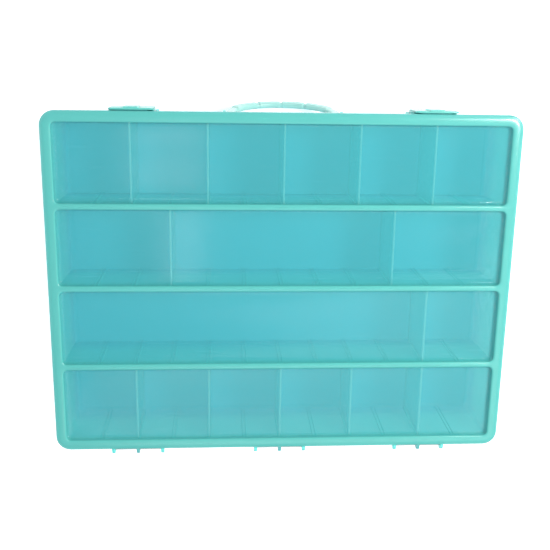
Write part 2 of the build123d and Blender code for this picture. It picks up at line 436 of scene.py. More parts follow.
def rounded_loop(
    low: Pair, high: Pair, radii: tuple[float, ...],
    along: Array, up: Array, corner: int = 6,
) -> Array:
    """Loop of a rectangle with rounded corners, turning anticlockwise from its lower left.

    The four sides take their points from along and up, shares of the straight length from 0 to 1,
    so two loops made with the same shares match point by point.

    Args:
        low: Lowest corner of the rectangle.
        high: Highest corner of the rectangle.
        radii: Corner radii: low left, low right, high right, high left.
        along: Shares for the two sides along the first direction.
        up: Shares for the two sides along the second direction.
        corner: Points between the two ends of each corner.

    Returns:
        Array of points, one row each.
    """
    (x0, y0), (x1, y1) = low, high
    r0, r1, r2, r3 = radii

    def side(start: Pair, end: Pair, shares: Array) -> Array:
        """Points from start to end at the given shares."""
        a, b = np.array(start), np.array(end)
        return a + shares[:, None] * (b - a)

    def turn(centre: Pair, radius: float, start: float) -> Array:
        """Points between the two ends of a quarter circle."""
        return arc(centre, radius, start, start + 90, corner + 2)[1:-1]

    return np.concatenate([
        side((x0 + r0, y0), (x1 - r1, y0), along),
        turn((x1 - r1, y0 + r1), r1, -90),
        side((x1, y0 + r1), (x1, y1 - r2), up),
        turn((x1 - r2, y1 - r2), r2, 0),
        side((x1 - r2, y1), (x0 + r3, y1), 1 - along[::-1]),
        turn((x0 + r3, y1 - r3), r3, 90),
        side((x0, y1 - r3), (x0, y0 + r0), 1 - up[::-1]),
        turn((x0 + r0, y0 + r0), r0, 180),
    ])


def fillet_profile(radius: float, count: int = 5) -> tuple[Array, Array]:
    """Quarter round: inset is radius (1 - cosine) and drop is radius (1 - sine) from 90 to 0 degrees.

    Args:
        radius: Radius of the round.
        count: Steps in the quarter.

    Returns:
        Insets and drops, from (radius, 0) to (0, radius).
    """
    turn = np.linspace(math.pi / 2, 0.0, count + 1)
    return radius * (1 - np.cos(turn)), radius * (1 - np.sin(turn))


class Shells:
    """Collects surfaces worked out as grids and turns them into one mesh object."""

    def __init__(self) -> None:
        """Start with nothing."""
        self.points: list[Array] = []
        self.faces: list[tuple[int, ...]] = []
        self.count = 0

    def grid(self, rows: Array, around: bool = False, caps: bool = False) -> None:
        """Add a surface of rows by columns of points, with a quad between each four neighbours.

        Args:
            rows: Array of rows, columns and XYZ.
            around: Whether the last column joins the first.
            caps: Whether the first and last rows are closed by a face.
        """
        height, width = rows.shape[:2]
        index = np.arange(height * width).reshape(height, width) + self.count
        right = np.roll(index, -1, 1) if around else index[:, 1:]
        left = index if around else index[:, :-1]
        quads = np.stack([left[:-1], right[:-1], right[1:], left[1:]], -1).reshape(-1, 4)
        self.faces += [tuple(quad) for quad in quads.tolist()]
        if caps:
            self.faces.append(tuple(index[0, ::-1].tolist()))
            self.faces.append(tuple(index[-1].tolist()))
        self.points.append(rows.reshape(-1, 3))
        self.count += height * width

    def slab(self, low: Triple, high: Triple, axis: int, corner: float, edge: float) -> None:
        """Add a slab as slab_rows shapes it."""
        self.grid(slab_rows(np.array(low), np.array(high), axis, corner, edge), around=True)

    def plate(self, outline: Array, x_middle: float, thickness: float, edge: float) -> None:
        """Add a plate across X whose outline is carried through its thickness.

        At the rounded edges each point of the outline moves inwards, square to the outline, by the
        quarter round's inset.

        Args:
            outline: Array of (y, z) points, anticlockwise.
            x_middle: X of the plate's middle.
            thickness: Size along X.
            edge: Radius of the rounded edges.
        """
        run = np.roll(outline, -1, 0) - np.roll(outline, 1, 0)
        normal = np.stack([run[:, 1], -run[:, 0]], 1)
        normal /= np.linalg.norm(normal, axis=1, keepdims=True)
        inset, drop = fillet_profile(edge, 3)
        levels = np.concatenate([drop - thickness / 2, thickness / 2 - drop[::-1]])
        amounts = np.concatenate([inset, inset[::-1]])
        rows = np.zeros((len(levels), len(outline), 3))
        rows[..., 0] = x_middle + levels[:, None]
        rows[..., 1:] = outline[None] - amounts[:, None, None] * normal[None]
        self.grid(rows, around=True, caps=True)

    def rod(self, x_low: float, x_high: float, radius: float, edge: float, centre: Pair) -> None:
        """Add a rod along X: circles whose radius follows a quarter round at both ends.

        Args:
            x_low: X of the first end.
            x_high: X of the other end.
            radius: The rod's radius.
            edge: Radius of the rounded ends.
            centre: Y and Z of the rod's axis.
        """
        inset, drop = fillet_profile(edge, 3)
        stations = np.concatenate([[x_low], x_low + drop, x_high - drop[::-1], [x_high]])
        radii = np.concatenate([[SMALLEST], radius - inset, radius - inset[::-1], [SMALLEST]])
        turn = np.linspace(0, 2 * math.pi, 24, endpoint=False)
        rows = np.zeros((len(stations), len(turn), 3))
        rows[..., 0] = stations[:, None]
        rows[..., 1] = centre[0] + radii[:, None] * np.cos(turn)
        rows[..., 2] = centre[1] + radii[:, None] * np.sin(turn)
        self.grid(rows, around=True)

    def build(self, name: str, weld: float = 1e-6, closed: bool = True) -> Thing:
        """Make the object, weld shared points and drop faces that weld to nothing.

        Args:
            name: The object's name.
            weld: Points nearer than this become one.
            closed: Whether the shells are closed bodies: hairline gaps that the grids leave in the
                middle of their ends are filled, and faces are turned outwards.

        Returns:
            The mesh object, smooth shaded except at sharp edges.
        """
        mesh = bpy.data.meshes.new(name)
        mesh.from_pydata(np.concatenate(self.points).tolist(), [], self.faces)
        work = bmesh.new()
        work.from_mesh(mesh)
        bmesh.ops.remove_doubles(work, verts=work.verts, dist=weld)
        bmesh.ops.dissolve_degenerate(work, edges=work.edges, dist=weld)
        if closed:
            bmesh.ops.holes_fill(work, edges=[edge for edge in work.edges if edge.is_boundary])
            bmesh.ops.recalc_face_normals(work, faces=work.faces)
        work.to_mesh(mesh)
        work.free()
        mesh.shade_smooth()
        mesh.set_sharp_from_angle(angle=math.radians(38))
        thing = bpy.data.objects.new(name, mesh)
        bpy.context.scene.collection.objects.link(thing)
        return thing


def slab_rows(low: Array, high: Array, axis: int, corner: float, edge: float) -> Array:
    """Slab with rounded corners and rounded edges.

    A rounded rectangle is carried from one flat face to the other. Its inset follows a quarter
    round of radius edge at both faces, and both faces shrink to a line in their middle.

    Args:
        low: Lowest corner.
        high: Highest corner.
        axis: The thin direction: 0, 1 or 2.
        corner: Radius of the outline's corners.
        edge: Radius of the rounded edges.

    Returns:
        Rows of points for Shells.grid, which go right round.
    """
    first, second = [place for place in (0, 1, 2) if place != axis]
    share = np.linspace(0, 1, 9)
    inset, drop = fillet_profile(edge, 3)
    half = min(high[first] - low[first], high[second] - low[second]) / 2
    thick = high[axis] - low[axis]
    face = np.array([half * NEAR_MIDDLE, half * 0.5])
    insets = np.concatenate([face, inset, inset[::-1], face[::-1]])
    levels = np.concatenate([[0.0, 0.0], drop, thick - drop[::-1], [thick, thick]])
    rows = []
    for amount, level in zip(insets, levels):
        loop = rounded_loop(
            (low[first] + amount, low[second] + amount),
            (high[first] - amount, high[second] - amount),
            (max(corner - amount, SMALLEST),) * 4, share, share, 4,
        )
        row = np.full((len(loop), 3), low[axis] + level)
        row[:, first], row[:, second] = loop[:, 0], loop[:, 1]
        rows.append(row)
    return np.stack(rows)


def place_piece(
    thing: Thing, body: Body, slot: Slot, finish: Material, *nodes: str
) -> None:
    """Dress a piece, put it on its body and hide the nodes that it stands for.

    Args:
        thing: The piece.
        body: The body that it rides on.
        slot: The record's slot of the piece; not used.
        finish: Its material.
        nodes: CAD nodes that it replaces.
    """
    thing.data.materials.clear()
    thing.data.materials.append(finish)
    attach(thing, body.value)
    if nodes:
        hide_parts(*nodes)
    LOG.info("piece %s on %s", thing.name, body.value)


def solidified(thing: Thing, thickness: float) -> None:
    """Give an open surface a wall on its inner side and apply it.

    Args:
        thing: The surface.
        thickness: The wall's thickness.
    """
    wall = thing.modifiers.new("wall", "SOLIDIFY")
    wall.thickness = thickness
    wall.offset = -1.0
    wall.use_even_offset = True
    wall.use_quality_normals = True
    bpy.context.view_layer.objects.active = thing
    thing.select_set(True)
    bpy.ops.object.modifier_apply(modifier=wall.name)
    thing.select_set(False)


# ---------------------------------------------------------------- sub-assemblies


@dataclass
class LidShell:
    """The moulded lid: one thin skin that runs up the skirt, over the rim and ribs and into four
    sunken panels, with hinge lugs at the back and catch beads at the front."""

    finish: Material
    panel_finish: Material
    shells: Shells = field(default_factory=Shells)
    rim: float = 9 * MM
    rim_round: float = 1.4 * MM
    ring: float = 4.5 * MM
    rib: float = 5.6 * MM
    recess: float = 4.5 * MM
    pocket_corner: float = 3.2 * MM
    pocket_round: float = 2.1 * MM
    floor_round: float = 1.6 * MM
    panel_depth: float = 0.8 * MM
    skin: float = 1.3 * MM
    sag: float = 0.35 * MM
    crown: float = 0.55 * MM
    rows: int = 4
    notch_radius: float = 4.4 * MM
    catch_half: float = 12 * MM
    along: Array = field(init=False)
    up: Array = field(init=False)

    def __post_init__(self) -> None:
        """Work out the shares of the sides, with extra points at the skirt's notches."""
        half = CASE.lug_width / 2 + CASE.lug_gap
        straight = CASE.half_length - CASE.corner
        self.along = notched_shares(self.base_lugs(), half, straight, 97)
        self.up = np.linspace(0, 1, 17)

    def base_lugs(self) -> tuple[float, ...]:
        """X of the tray's lugs, which the skirt is notched for."""
        return tuple(s + side * CASE.lug_pitch for s in CASE.stations for side in (-1, 1))

    def row_edges(self) -> list[Pair]:
        """Y limits of the four cells, from rib middle to rib middle.

        Returns:
            Low and high limits, back to front.
        """
        edge = CASE.half_width - self.ring
        inner = [CASE.row_pitch * (i - self.rows / 2) for i in range(1, self.rows)]
        lines = [-edge, *inner, edge]
        return list(zip(lines[:-1], lines[1:]))

    def pocket_profile(self, half: float) -> tuple[Array, Array]:
        """Profile from the flat top into a pocket: round over, wall, round in, then a floor that
        sags softly towards its middle.

        Args:
            half: Half the pocket's short side.

        Returns:
            Insets from the pocket's edge, and heights.
        """
        over, under, lead = self.pocket_round, self.floor_round, 0.25 * MM
        edge = arc((-over, -over), over, 90, 0, 7)
        foot = arc((lead + under, under - self.recess), under, 180, 270, 7)
        share = np.array([0.08, 0.2, 0.4, 0.6, 0.8, 1.0])
        start = foot[-1, 0]
        sunk = -self.recess - self.sag * np.sin(share * math.pi / 2) ** 2
        floor = np.column_stack([start + (half - start) * share, sunk])
        inset, height = np.concatenate([edge, foot, floor]).T
        return inset, height

    def skin_surface(self) -> None:
        """Add the lid's outer skin: pocket cells inside, and the rim and skirt around them."""
        ring_corner = CASE.corner - self.ring
        edge_x = CASE.half_length - self.ring
        pocket_x = CASE.half_length - self.rim
        cells = self.row_edges()
        for number, (low, high) in enumerate(cells):
            back, front = number == 0, number == len(cells) - 1
            low_corner = ring_corner if back else 0.0
            high_corner = ring_corner if front else 0.0
            outer = rounded_loop(
                (-edge_x, low), (edge_x, high),
                (low_corner, low_corner, high_corner, high_corner), self.along, self.up,
            )
            y0 = self.rim - CASE.half_width if back else low + self.rib / 2
            y1 = CASE.half_width - self.rim if front else high - self.rib / 2
            rows = [np.column_stack([outer, np.full(len(outer), CASE.top)])]
            for inset, height in zip(*self.pocket_profile((y1 - y0) / 2)):
                loop = rounded_loop(
                    (-pocket_x + inset, y0 + inset), (pocket_x - inset, y1 - inset),
                    (max(self.pocket_corner - inset, 0.0),) * 4, self.along, self.up,
                )
                rows.append(np.column_stack([loop, np.full(len(loop), CASE.top + height)]))
            self.shells.grid(np.stack(rows), around=True)
        self.rim_surface()

    def side_shares(self) -> Array:
        """Points of the rim's short sides, which match the cells' points one by one.

        Returns:
            Shares from 0 to 1.
        """
        straight = CASE.half_width - CASE.corner
        cells = self.row_edges()
        sides = []
        for number, (low, high) in enumerate(cells):
            start = -straight if number == 0 else low
            end = straight if number == len(cells) - 1 else high
            sides.append(start + (end - start) * self.up[(1 if number else 0):])
        return (np.concatenate(sides) + straight) / (2 * straight)

    def rim_surface(self) -> None:
        """Add the rim's top, its outer round and the skirt, whose lower edge rises at each notch."""
        up = self.side_shares()
        inset, drop = fillet_profile(self.rim_round, 6)
        share = np.linspace(0, 1, 5)[:-1]
        insets = np.concatenate([self.ring - (self.ring - self.rim_round) * share, inset])
        falls = np.concatenate([self.crown * share**2, self.crown + drop])
        rows = []
        for amount, fall in zip(insets, falls):
            loop = rounded_loop(
                (amount - CASE.half_length, amount - CASE.half_width),
                (CASE.half_length - amount, CASE.half_width - amount),
                (CASE.corner - amount,) * 4, self.along, up,
            )
            rows.append(np.column_stack([loop, np.full(len(loop), CASE.top - fall)]))
        start = CASE.top - falls[-1]
        bottom = np.minimum(self.skirt_edge(loop), start - 0.2 * MM)
        for share in (1 / 3, 2 / 3, 1.0):
            rows.append(np.column_stack([loop, start + (bottom - start) * share]))
        self.shells.grid(np.stack(rows)[::-1], around=True)

    def skirt_edge(self, loop: Array) -> Array:
        """Height of the skirt's lower edge: the seam, raised to clear a circle about the hinge line
        where a tray lug stands.

        Args:
            loop: The outline's points.

        Returns:
            Height for each point.
        """
        lugs = np.array(self.base_lugs())
        near = np.min(np.abs(loop[:, 0][:, None] - lugs[None]), axis=1)
        notched = (near < CASE.lug_width / 2 + CASE.lug_gap + 0.01 * MM) & (loop[:, 1] < 0)
        reach = math.sqrt(self.notch_radius**2 - (CASE.half_width + CASE.hinge[0]) ** 2)
        return np.where(notched, CASE.seam + reach, CASE.seam)

    def lug_outline(self) -> Array:
        """Outline of a lid lug: a circle about the hinge line that runs up into the skirt.

        Returns:
            Points as (y, z).
        """
        nose = arc(CASE.hinge, CASE.lug_radius, 145, 360, 22)
        root, top = -CASE.half_width + 0.9 * MM, CASE.top - 2.2 * MM
        return np.concatenate([nose[:-1], [(root, CASE.seam), (root, top), (-CASE.half_width, top)]])

    def build(self) -> None:
        """Make the lid."""
        self.skin_surface()
        thing = self.shells.build("lid_shell", closed=False)
        solidified(thing, self.skin)
        fittings = Shells()
        for station in CASE.stations:
            fittings.plate(self.lug_outline(), station, CASE.lug_width, 0.5 * MM)
        front = CASE.half_width
        for centre in (-CASE.latch_x, CASE.latch_x):
            low = (centre - self.catch_half, front - 1.0 * MM, CASE.seam)
            high = (centre + self.catch_half, front + 0.5 * MM, CASE.seam + 1.4 * MM)
            fittings.slab(low, high, 1, 0.6 * MM, 0.3 * MM)
        joined(thing, fittings.build("lid_fittings", weld=1e-7))
        place_piece(thing, Body.LID, Slot.LID, self.finish, "lid")
        self.dress_panels(thing)

    def dress_panels(self, thing: Thing) -> None:
        """Give the thin clear finish to the faces inside the pockets, told by where they lie.

        Args:
            thing: The lid.
        """
        thing.data.materials.append(self.panel_finish)
        count = len(thing.data.polygons)
        centre = np.empty(count * 3)
        thing.data.polygons.foreach_get("center", centre)
        centre = np.abs(centre.reshape(-1, 3))
        inside = centre[:, 0] < CASE.half_length - self.rim + 0.5 * MM
        inside &= centre[:, 1] < CASE.half_width - self.rim + 0.5 * MM
        # The pocket walls below panel_depth take the paler, clearer panel finish as well: partly painted
        # light, lifting the shade on those walls; the clear floors are the thin panels' own look.
        sunken = inside & (centre[:, 2] < CASE.top - self.panel_depth)
        thing.data.polygons.foreach_set("material_index", sunken.astype(np.int32))


def joined(thing: Thing, other: Thing) -> None:
    """Join another mesh object into the first one.

    Args:
        thing: The object that stays.
        other: The object that it takes in.
    """
    bpy.ops.object.select_all(action="DESELECT")
    thing.select_set(True)
    other.select_set(True)
    bpy.context.view_layer.objects.active = thing
    bpy.ops.object.join()
    thing.select_set(False)


@dataclass
class TrayShell:
    """The moulded tray: one closed shell for floor, drafted walls, flange and tongue, with row
    walls, slot ribs, hinge lugs and the ears of the latches and the handle."""

    finish: Material
    shells: Shells = field(default_factory=Shells)
    overhang: float = 5 * MM
    wall: float = 2 * MM
    floor: float = 2.5 * MM
    tongue: float = 59.5 * MM
    flange_inset: float = 1 * MM
    flange_low: float = 55.3 * MM
    flange_high: float = 57.2 * MM
    foot: float = 2.5 * MM
    cove: float = 3.6 * MM
    rib_top: float = 57.3 * MM
    rib_width: float = 1 * MM
    slot_pitch: float = 29.65 * MM
    slot_gap: float = 1.8 * MM
    slot_limit: int = 5
    row_wall: float = 2 * MM
    lug_depth: float = 11 * MM
    ear_radius: float = 2.5 * MM
    ear_thickness: float = 2.4 * MM
    latch_ear: float = 18.3 * MM
    handle_ear: float = 46.55 * MM

    def profile(self) -> tuple[Array, Array, Array]:
        """Cross-section from the middle of the underside, round the foot, up the wall, out and
        round the flange, over the tongue, down inside and in to the middle of the floor.

        Returns:
            Insets from the lid's outline, heights, and the part of each inset that is draft.
        """
        foot, cove, out, inner = self.foot, self.cove, self.overhang, self.overhang + self.wall
        under, edge, top, flat = 0.6 * MM, 0.5 * MM, 0.7 * MM, 12 * MM
        tip = self.flange_inset + edge
        low, high = self.flange_low, self.flange_high
        middle = CASE.half_width * NEAR_MIDDLE, CASE.half_width * 0.5
        rows = np.concatenate([
            [(middle[0], 0.0), (middle[1], 0.0), (out + flat, 0.0)],
            arc((out + foot, foot), foot, 270, 180, 6),
            [(out, z) for z in np.linspace(foot, low - under, 6)[1:]],
            arc((out - under, low - under), under, 0, 90, 4)[1:],
            arc((tip, low + edge), edge, 270, 180, 4),
            arc((tip, high - edge), edge, 180, 90, 4),
            [(out - 0.4 * MM, high), (out, high + 0.3 * MM)],
            arc((out + top, self.tongue - top), top, 180, 90, 4),
            arc((inner - top, self.tongue - top), top, 90, 0, 4),
            [(inner, z) for z in np.linspace(CASE.seam, self.floor + cove, 7)],
            arc((inner + cove, self.floor + cove), cove, 180, 270, 8)[1:],
            [(inner + flat, self.floor), (middle[1], self.floor), (middle[0], self.floor)],
        ])
        inset, level = rows.T
        upright = (inset <= 10 * MM) & ((level <= low - 0.01 * MM) | (inset >= out))
        drafted = np.where(upright, CASE.draft * np.maximum(CASE.seam - level, 0.0), 0.0)
        return inset, level, drafted

    def shell(self) -> None:
        """Carry the cross-section round the outline; the flange steps back at the lid's lugs."""
        half = CASE.lug_width / 2 + CASE.lug_gap
        along = notched_shares(CASE.stations, half, CASE.half_length - CASE.corner, 49)
        up = np.linspace(0, 1, 21)
        stations = np.array(CASE.stations)
        limit = CASE.hinge[0] + CASE.lug_radius + CASE.lug_gap
        rows = []
        for inset, level, drafted in zip(*self.profile()):
            amount = inset + drafted
            low = (amount - CASE.half_length, amount - CASE.half_width)
            high = (CASE.half_length - amount, CASE.half_width - amount)
            loop = rounded_loop(low, high, (max(CASE.corner - inset, SMALLEST),) * 4, along, up, 8)
            near = np.min(np.abs(loop[:, 0][:, None] - stations[None]), axis=1)
            step = (near < half + 0.01 * MM) & (loop[:, 1] < 0)
            loop[:, 1] = np.where(step, np.maximum(loop[:, 1], limit), loop[:, 1])
            rows.append(np.column_stack([loop, np.full(len(loop), level)]))
        self.shells.grid(np.stack(rows), around=True)

    def wall_places(self) -> list[float]:
        """Y of the three row walls."""
        return [-CASE.row_pitch, 0.0, CASE.row_pitch]

    def row_walls(self) -> None:
        """Three full-length row walls with rounded tops, their ends drafted with the tray."""
        reach = CASE.half_length - self.overhang - self.wall + 0.4 * MM
        for y in self.wall_places():
            low = np.array([-reach, y - self.row_wall / 2, self.floor - 0.4 * MM])
            high = np.array([reach, y + self.row_wall / 2, self.tongue])
            rows = slab_rows(low, high, 1, 0.5 * MM, 0.6 * MM)
            share = (rows[..., 2] - low[2]) / (high[2] - low[2])
            rows[..., 0] -= np.sign(rows[..., 0]) * (1 - share) * CASE.draft * CASE.seam
            self.shells.grid(rows, around=True)

    def slot_ribs(self) -> None:
        """Upright half-round ribs in pairs: section carried up the wall, closing in at its top."""
        flank = np.array([(0.5, -0.4), (0.5, 0.6), (0.34, 1.02)]) * MM
        section = np.concatenate([flank, [(0.0, 1.2 * MM)], flank[::-1] * (-1, 1)])
        drops = np.array([1.2, 0.3, 0.0]) * MM
        levels = np.concatenate([[self.floor - 0.3 * MM], self.rib_top - drops])
        shrink = np.array([1.0, 1.0, 0.8, 0.45])
        offset = (self.slot_gap + self.rib_width) / 2
        slots = np.arange(-self.slot_limit, self.slot_limit + 1) * self.slot_pitch
        for x in np.concatenate([slots - offset, slots + offset]):
            for face, out, draft in self.rib_faces():
                rows = np.zeros((len(levels), len(section), 3))
                rows[..., 0] = x - out * section[None, :, 0] * shrink[:, None]
                base = face + out * draft * (CASE.seam - levels)
                rows[..., 1] = base[:, None] + out * section[None, :, 1] * shrink[:, None]
                rows[..., 2] = levels[:, None]
                self.shells.grid(rows, around=True, caps=True)

    def rib_faces(self) -> list[tuple[float, int, float]]:
        """The wall faces that carry slot ribs.

        Returns:
            Each face's Y, the way that it faces, and its draft.
        """
        end = CASE.half_width - self.overhang - self.wall
        half = self.row_wall / 2
        faces = [(y + side * half, side, 0.0) for y in self.wall_places() for side in (-1, 1)]
        return faces + [(end, -1, CASE.draft), (-end, 1, CASE.draft)]

    def lugs_and_ears(self) -> None:
        """Hinge lugs with gussets on the back wall, and round-nosed ears on the front wall."""
        nose = arc(CASE.hinge, CASE.lug_radius, -4, 70, 8)
        back = arc(CASE.hinge, CASE.lug_radius, 88, 232, 16)
        wall = self.overhang - CASE.half_width + 0.5 * MM
        root = [(wall + 0.4 * MM, CASE.seam - self.lug_depth), (wall, self.flange_high)]
        outline = np.concatenate([nose, back, root])
        for station in CASE.stations:
            for side in (-1, 1):
                self.shells.plate(outline, station + side * CASE.lug_pitch, CASE.lug_width, 0.5 * MM)
        latch = [x + side * self.latch_ear for x in (-CASE.latch_x, CASE.latch_x) for side in (-1, 1)]
        handle = [-self.handle_ear, self.handle_ear]
        for (y, z), places in ((CASE.latch_pivot, latch), (CASE.handle_pivot, handle)):
            wall = CASE.half_width - self.overhang - CASE.draft * (CASE.seam - z) - 0.7 * MM
            root = [(wall, z + self.ear_radius), (wall, z - 2 * self.ear_radius)]
            outline = np.concatenate([arc((y, z), self.ear_radius, -90, 90, 14), root])
            for x in places:
                self.shells.plate(outline, x, self.ear_thickness, 0.35 * MM)

    def build(self) -> None:
        """Make the tray as one piece of its closed shells."""
        self.shell()
        self.row_walls()
        self.slot_ribs()
        self.lugs_and_ears()
        thing = self.shells.build("tray_shell")
        place_piece(thing, Body.TRAY, Slot.TRAY, self.finish, "base_tray")


@dataclass
class DividerSet:
    """Loose dividers: thin plates with a rolled top edge, one piece for each."""

    finish: Material
    corner: float = 1 * MM
    edge: float = 0.5 * MM
    reach: float = 120 * MM

    def build(self) -> None:
        """Make a plate for every divider node, inside that node's own box."""
        cad_names = [thing.get("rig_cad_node", "") for thing in bpy.data.objects]
        for name in sorted(name for name in cad_names if name.startswith("divider_")):
            low, high = (np.array(corner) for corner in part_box(name))
            shells = Shells()
            rows = slab_rows(low, high, 0, self.corner, self.edge)
            shells.grid(self.drafted(rows, low, high), around=True)
            thing = shells.build(name + "_plate")
            place_piece(thing, Body.TRAY, Slot.DIVIDER, self.finish, name)

    def drafted(self, rows: Array, low: Array, high: Array) -> Array:
        """Lean the edge that meets a drafted long wall inwards towards the floor.

        Args:
            rows: The plate's points.
            low: Lowest corner of its box.
            high: Highest corner of its box.

        Returns:
            The points with the edge leaned.
        """
        depth = (high[2] - rows[..., 2]) * CASE.draft
        y = rows[..., 1]
        share = (y - low[1]) / (high[1] - low[1])
        if high[1] > self.reach:
            rows[..., 1] = y - depth * share
        if low[1] < -self.reach:
            rows[..., 1] = y + depth * (1 - share)
        return rows


@dataclass
class SnapLatch:
    """A latch flap: plate, side walls, barrel with trunnions, claw bead and thumb pad."""

    finish: Material
    body: Body
    node: str
    centre: float
    width: float = 33.5 * MM
    plate_low: float = 139.2 * MM
    plate_high: float = 140.7 * MM
    foot_z: float = 38 * MM
    head_z: float = 62.0 * MM
    side_wall: float = 1.6 * MM
    barrel: float = 2.6 * MM
    trunnion: float = 1.2 * MM
    trunnion_reach: float = 2.75 * MM
    pad_half: float = 5.75 * MM
    pad_rise: float = 1 * MM
    pad_height: float = 18 * MM
    claw_half: float = 12 * MM
    claw_low: float = 59.2 * MM
    claw_high: float = 59.9 * MM

    def build(self) -> None:
        """Make the latch as one piece of closed shells."""
        shells = Shells()
        x, low, high, head = self.centre, self.plate_low, self.plate_high, self.head_z
        left, right = x - self.width / 2, x + self.width / 2
        shells.slab(
            (left, low, self.foot_z - 2.5 * MM), (right, high, head), 1, 2.6 * MM, 0.5 * MM
        )
        shells.slab(
            (x - self.pad_half, low + 0.8 * MM, head - self.pad_height),
            (x + self.pad_half, high + self.pad_rise, head), 1, 0.9 * MM, 0.5 * MM,
        )
        shells.slab(
            (x - self.claw_half, low - 0.17 * MM, self.claw_low),
            (x + self.claw_half, high - 0.3 * MM, self.claw_high), 1, 0.3 * MM, 0.1 * MM,
        )
        for side in (left + self.side_wall / 2, right - self.side_wall / 2):
            shells.plate(self.side_outline(), side, self.side_wall, 0.35 * MM)
        shells.rod(left, right, self.barrel, 0.5 * MM, CASE.latch_pivot)
        reach = self.width / 2 + self.trunnion_reach
        shells.rod(x - reach, x + reach, self.trunnion, 0.3 * MM, CASE.latch_pivot)
        y, z = CASE.latch_pivot
        shells.slab(
            (left + 0.2 * MM, y, z - 0.8 * MM), (right - 0.2 * MM, high - 0.1 * MM, z + 1.8 * MM),
            2, 0.5 * MM, 0.4 * MM,
        )
        thing = shells.build(self.node + "_flap")
        place_piece(thing, self.body, Slot.LATCH, self.finish, self.node)

    def side_outline(self) -> Array:
        """Outline of a side wall, from the barrel up behind the plate.

        Returns:
            Points as (y, z).
        """
        y, z = CASE.latch_pivot
        front, back, top = self.plate_high - 0.3 * MM, 138.0 * MM, self.head_z - 1.2 * MM
        return np.array([
            (y, z - self.barrel * 0.9), (front, self.foot_z - 1.5 * MM), (front, top),
            (self.plate_low + 0.2 * MM, top), (self.plate_low + 0.1 * MM, 55.3 * MM),
            (back, 54.3 * MM), (back, 51.3 * MM), (y - self.barrel * 0.8, z + self.barrel * 0.6),
        ])


@dataclass
class BailHandle:
    """The carrying handle: a rounded section carried along a half ellipse, swelling into four grip
    pads, between two barrels with trunnions."""

    finish: Material
    span: float = 84 * MM
    reach: float = 29.5 * MM
    lean: float = 10.6
    band: float = 6 * MM
    core: float = 4 * MM
    power: float = 3.2
    pads: int = 4
    pad_pitch: float = 19.5 * MM
    pad_side: float = 0.9 * MM
    notch: float = 1.8 * MM
    rise: float = 1.0 * MM
    overhang: float = 0.6 * MM
    barrel: float = 2.1 * MM
    trunnion: float = 1.2 * MM
    trunnion_reach: float = 2.75 * MM

    def swell(self, x: Array) -> Array:
        """How far the pads stand out: one on each pad, nought in the notches, with soft sides.

        Args:
            x: Places along the handle.

        Returns:
            Share of the full rise at each place.
        """
        half = (self.pad_pitch - self.notch) / 2
        shift = (self.pads - 1) / 2
        number = np.clip(np.round(x / self.pad_pitch + shift), 0, self.pads - 1)
        nearest = (number - shift) * self.pad_pitch
        share = np.clip((half - np.abs(x - nearest)) / self.pad_side, 0, 1)
        return np.sqrt(1 - (1 - share) ** 2)

    def bail(self) -> Array:
        """The swept grip: at each station of the half ellipse a superellipse whose half sizes grow
        with the pads.

        Returns:
            Rows of points in the handle's own plane, before it is hung.
        """
        centres = (np.arange(self.pads) - (self.pads - 1) / 2) * self.pad_pitch
        flanks = (self.pad_pitch - self.notch) / 2 - np.array([0.0, 0.15, 0.35, 0.6, 0.9]) * MM
        marks = centres[:, None] + np.concatenate([-flanks, flanks])[None]
        even = self.span / 2 * np.cos(np.linspace(math.pi, 0, 60))
        x = np.sort(np.concatenate([even, marks.ravel()]))
        angle = np.arccos(np.clip(x / (self.span / 2), -1, 1))
        middle = np.stack([x, -self.reach * np.sin(angle)], 1)
        outward = np.stack([np.cos(angle) * self.reach, -np.sin(angle) * self.span / 2], 1)
        outward /= np.linalg.norm(outward, axis=1, keepdims=True)
        grow = self.swell(x)
        turn = np.linspace(0, 2 * math.pi, 28, endpoint=False)
        across, depth = (
            np.sign(wave) * np.abs(wave) ** (2 / self.power) for wave in (np.cos(turn), np.sin(turn))
        )
        wide = (self.band / 2 + self.overhang * grow)[:, None] * across[None]
        face = np.where(depth < 0, self.core / 2 + self.rise * grow[:, None], self.core / 2)
        flat = middle[:, None] + outward[:, None] * wide[..., None]
        return np.concatenate([flat, (face * depth[None])[..., None]], -1)

    def hung(self, rows: Array) -> Array:
        """Turn points from the handle's own plane to hang from the pivot, leaning outwards.

        Args:
            rows: Points in the handle's own plane.

        Returns:
            The hung points.
        """
        turn = math.radians(90 + self.lean)
        y, z = rows[..., 1], rows[..., 2]
        out = rows.copy()
        out[..., 1] = CASE.handle_pivot[0] + y * math.cos(turn) - z * math.sin(turn)
        out[..., 2] = CASE.handle_pivot[1] + y * math.sin(turn) + z * math.cos(turn)
        return out

    def build(self) -> None:
        """Make the handle as one piece of closed shells."""
        shells = Shells()
        shells.grid(self.hung(self.bail()), around=True, caps=True)
        half = self.band / 2
        for side in (-1, 1):
            middle = side * self.span / 2
            shells.rod(middle - half, middle + half, self.barrel, 0.4 * MM, CASE.handle_pivot)
            low, high = sorted((middle, middle + side * (half + self.trunnion_reach)))
            shells.rod(low, high, self.trunnion, 0.3 * MM, CASE.handle_pivot)
        thing = shells.build("bail_handle")
        place_piece(thing, Body.HANDLE, Slot.HANDLE, self.finish, "handle")


@dataclass
class HingePins:
    """Wire pins with rounded ends through the hinge lugs."""

    finish: Material
    radius: float = 1 * MM

    def build(self) -> None:
        """Make a pin for each pin node, along its own box."""
        for name in ("hinge_pin_left", "hinge_pin_middle", "hinge_pin_right"):
            low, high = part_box(name)
            shells = Shells()
            shells.rod(low.x, high.x, self.radius, 0.35 * MM, CASE.hinge)
            thing = shells.build(name + "_wire")
            place_piece(thing, Body.TRAY, Slot.PIN, self.finish, name)


